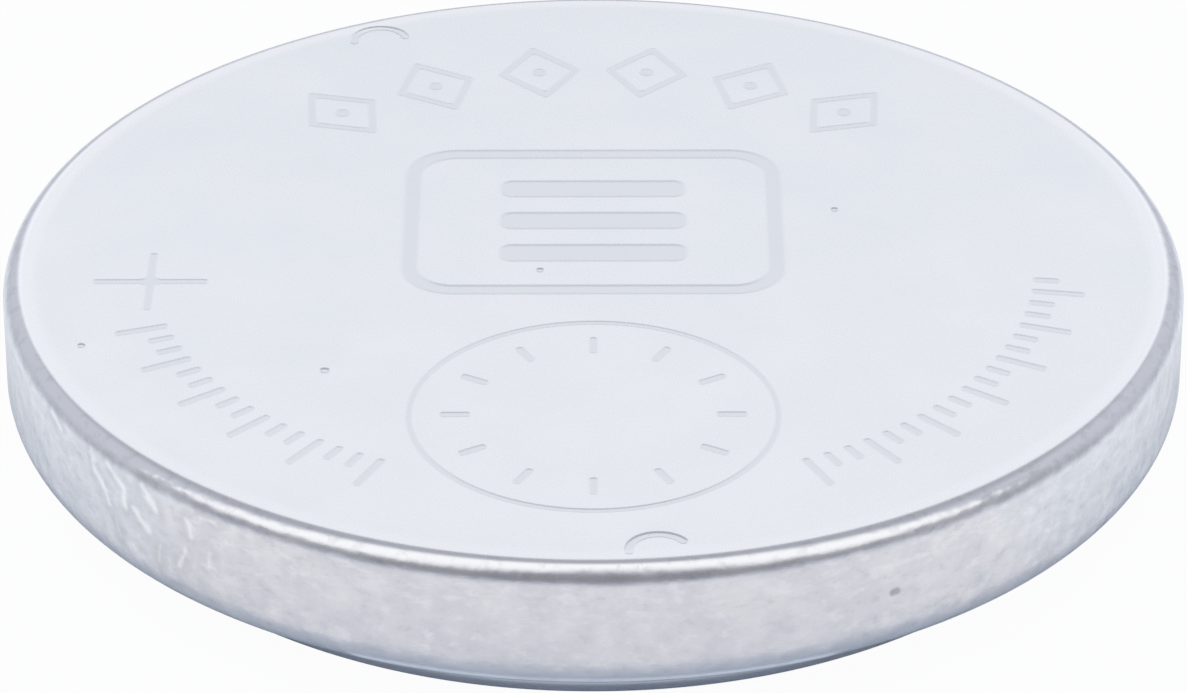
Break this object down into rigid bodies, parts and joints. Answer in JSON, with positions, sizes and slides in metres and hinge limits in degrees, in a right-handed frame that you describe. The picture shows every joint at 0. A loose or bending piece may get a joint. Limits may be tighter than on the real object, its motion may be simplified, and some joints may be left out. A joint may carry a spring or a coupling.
{
  "type": "lithium coin cell",
  "caption": "Flat round lithium coin cell: crimped steel can with stamped positive face over a stepped negative cap, gasket and active discs.",
  "frame": {"origin": "centre of the negative contact face, on the axis of the cell", "axes": "+Z along the axis, out of the positive face; +Y from the stamped circle towards the stamped frame, as the face is read"},
  "size_m": [0.02, 0.02, 0.0032],
  "materials": {
    "can_steel": "satin nickel-plated stainless sheet, pale blue-white",
    "cap_steel": "fine satin stainless sheet",
    "gasket_plastic": "dark moulded polypropylene",
    "lithium": "soft dull silver lithium foil",
    "separator_felt": "off-white non-woven felt",
    "cathode_mass": "black pressed powder",
    "ring_steel": "bright stamped stainless"
  },
  "bodies": {
    "root": {"positive_can": "can_steel", "negative_cap": "cap_steel", "sealing_gasket": "gasket_plastic", "lithium_anode": "lithium", "separator": "separator_felt", "cathode_pellet": "cathode_mass", "cathode_ring": "ring_steel"}
  },
  "joints": []
}
